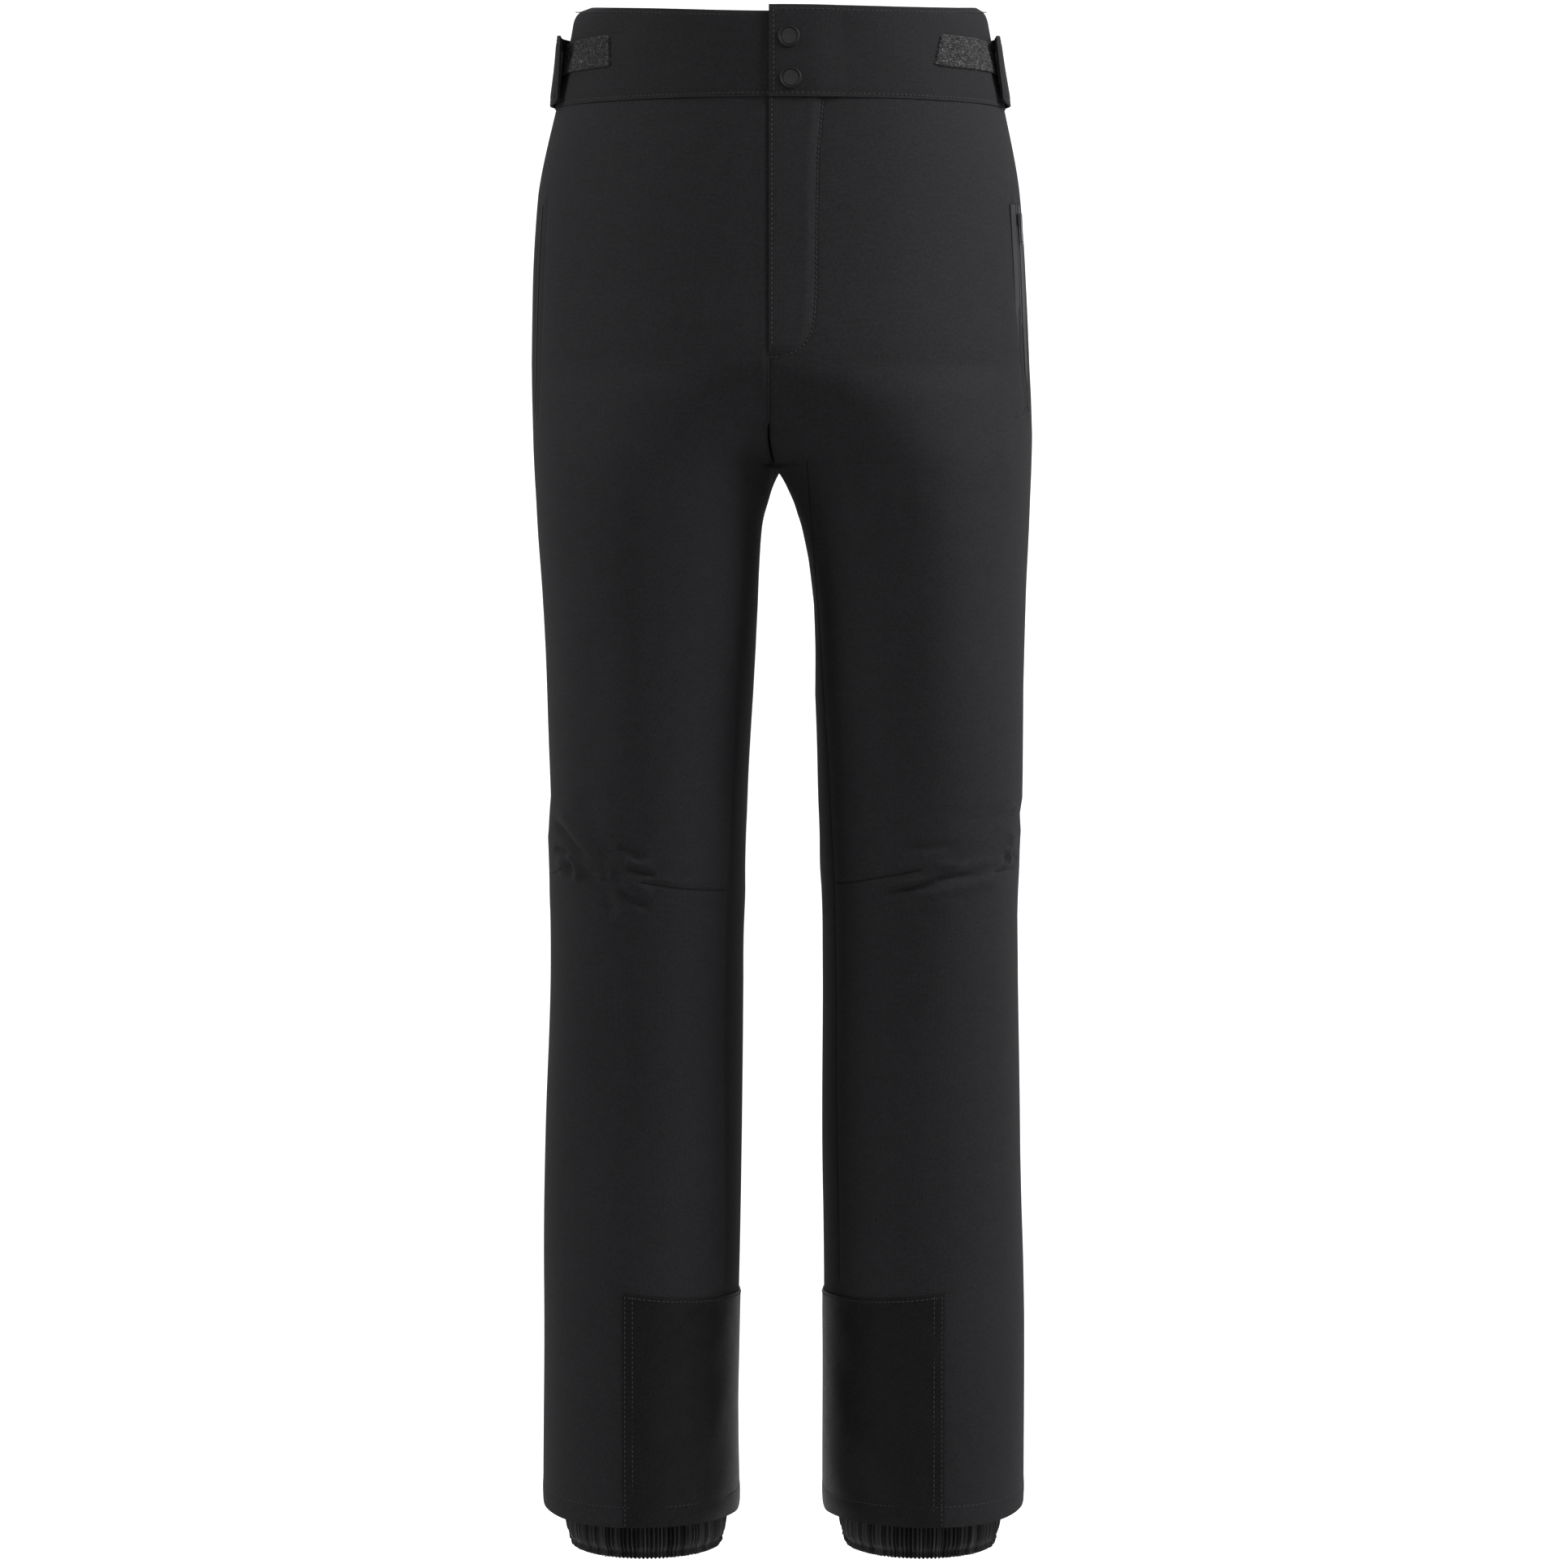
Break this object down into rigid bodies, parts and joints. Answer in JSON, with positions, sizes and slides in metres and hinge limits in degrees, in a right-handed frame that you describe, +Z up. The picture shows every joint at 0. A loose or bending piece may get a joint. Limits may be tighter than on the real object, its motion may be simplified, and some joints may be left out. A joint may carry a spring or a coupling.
{
  "type": "ski pants",
  "caption": "Full-length ski pants with snap waistband, side adjuster tabs, zip fly, jointed legs, inner-ankle scuff guards and gathered boot gaiters.",
  "frame": {"origin": "centre of the waist opening, at the waistband's upper edge", "axes": "+Z up the body, -Y towards the wearer's front, +X to the wearer's left"},
  "size_m": [0.352, 0.2801, 1.0923],
  "materials": {
    "shell_fabric": "matte",
    "waistband_fabric": "matte",
    "guard_fabric": "matte",
    "gaiter_fabric": "matte",
    "elastic": "matte",
    "loop_pile": "matte",
    "hook_tape": "matte",
    "lining_fabric": "matte",
    "zip_tape": "matte",
    "zip_coil": "matte",
    "zip_metal": "matte",
    "snap_cap": "matte",
    "snap_metal": "matte"
  },
  "bodies": {
    "hips": {"fly_shield": "lining_fabric", "fly_zip_coils": "zip_coil", "fly_zip_stops": "zip_coil", "fly_zip_tapes": "zip_tape", "hip_panel_back_left": "shell_fabric", "hip_panel_back_right": "shell_fabric", "hip_panel_front_left": "shell_fabric", "hip_panel_front_right": "shell_fabric", "loop_patch_left": "loop_pile", "loop_patch_right": "loop_pile", "pocket_bag_left": "lining_fabric", "pocket_bag_right": "lining_fabric", "pocket_zip_coils_left": "zip_coil", "pocket_zip_coils_right": "zip_coil", "pocket_zip_tapes_left": "zip_tape", "pocket_zip_tapes_right": "zip_tape", "snap_studs": "snap_metal", "waistband_back": "waistband_fabric", "waistband_front_left": "waistband_fabric", "waistband_front_right": "waistband_fabric"},
    "left_thigh": {"hip_bend_left": "shell_fabric", "thigh_panel_back_left": "shell_fabric", "thigh_panel_front_left": "shell_fabric"},
    "left_shin": {"gaiter_casing_left": "gaiter_fabric", "gaiter_elastic_left": "elastic", "gaiter_sleeve_left": "gaiter_fabric", "knee_bend_left": "shell_fabric", "scuff_guard_left": "guard_fabric", "shin_panel_back_left": "shell_fabric", "shin_panel_front_left": "shell_fabric"},
    "right_thigh": {"hip_bend_right": "shell_fabric", "thigh_panel_back_right": "shell_fabric", "thigh_panel_front_right": "shell_fabric"},
    "right_shin": {"gaiter_casing_right": "gaiter_fabric", "gaiter_elastic_right": "elastic", "gaiter_sleeve_right": "gaiter_fabric", "knee_bend_right": "shell_fabric", "scuff_guard_right": "guard_fabric", "shin_panel_back_right": "shell_fabric", "shin_panel_front_right": "shell_fabric"},
    "front_flap": {"fly_placket": "shell_fabric", "snap_caps": "snap_cap", "snap_sockets": "snap_metal", "waistband_overlap": "waistband_fabric"},
    "fly_slider": {"fly_zip_pull": "zip_metal", "fly_zip_slider": "zip_metal"},
    "left_tab": {"hook_pad_left": "hook_tape", "waist_tab_left": "waistband_fabric"},
    "right_tab": {"hook_pad_right": "hook_tape", "waist_tab_right": "waistband_fabric"},
    "left_pocket_slider": {"pocket_zip_slider_left": "zip_metal"},
    "left_pocket_pull": {"pocket_zip_pull_left": "zip_metal"},
    "right_pocket_slider": {"pocket_zip_slider_right": "zip_metal"},
    "right_pocket_pull": {"pocket_zip_pull_right": "zip_metal"}
  },
  "joints": [
    {"name": "left_hip_flex", "type": "hinge", "parent": "hips", "child": "left_thigh", "pos_m": [0.095, -0.005, -0.412], "axis": [-1, 0, 0], "range_deg": [-10, 40], "deforming": ["hip_bend_left"]},
    {"name": "left_knee_bend", "type": "hinge", "parent": "left_thigh", "child": "left_shin", "pos_m": [0.095, -0.008, -0.613], "axis": [1, 0, 0], "range_deg": [0, 70], "deforming": ["knee_bend_left"]},
    {"name": "right_hip_flex", "type": "hinge", "parent": "hips", "child": "right_thigh", "pos_m": [-0.095, -0.005, -0.412], "axis": [-1, 0, 0], "range_deg": [-10, 40], "deforming": ["hip_bend_right"]},
    {"name": "right_knee_bend", "type": "hinge", "parent": "right_thigh", "child": "right_shin", "pos_m": [-0.095, -0.008, -0.613], "axis": [1, 0, 0], "range_deg": [0, 70], "deforming": ["knee_bend_right"]},
    {"name": "flap_fold", "type": "hinge", "parent": "hips", "child": "front_flap", "pos_m": [0.0285, -0.1165, -0.13], "axis": [0, 0.083, 0.9965], "range_deg": [0, 70]},
    {"name": "fly_zip_slide", "type": "slide", "parent": "hips", "child": "fly_slider", "axis": [0, -0.083, -0.9965], "range_m": [0, 0.138]},
    {"name": "left_tab_peel", "type": "hinge", "parent": "hips", "child": "left_tab", "pos_m": [0.1385, 0.0605, -0.038], "axis": [-0.2425, 0, 0.9701], "range_deg": [0, 95]},
    {"name": "right_tab_peel", "type": "hinge", "parent": "hips", "child": "right_tab", "pos_m": [-0.1385, 0.0605, -0.038], "axis": [-0.2425, 0, -0.9701], "range_deg": [0, 95]},
    {"name": "left_pocket_zip_slide", "type": "slide", "parent": "hips", "child": "left_pocket_slider", "axis": [0.0481, 0, -0.9988], "range_m": [0, 0.12]},
    {"name": "left_pocket_pull_swing", "type": "hinge", "parent": "left_pocket_slider", "child": "left_pocket_pull", "pos_m": [0.16674, -0.02116, -0.14547], "axis": [-0.3256, -0.9455, 0], "range_deg": [0, 120]},
    {"name": "right_pocket_zip_slide", "type": "slide", "parent": "hips", "child": "right_pocket_slider", "axis": [-0.0481, 0, -0.9988], "range_m": [0, 0.12]},
    {"name": "right_pocket_pull_swing", "type": "hinge", "parent": "right_pocket_slider", "child": "right_pocket_pull", "pos_m": [-0.16674, -0.02116, -0.14547], "axis": [-0.3256, 0.9455, 0], "range_deg": [0, 120]}
  ]
}
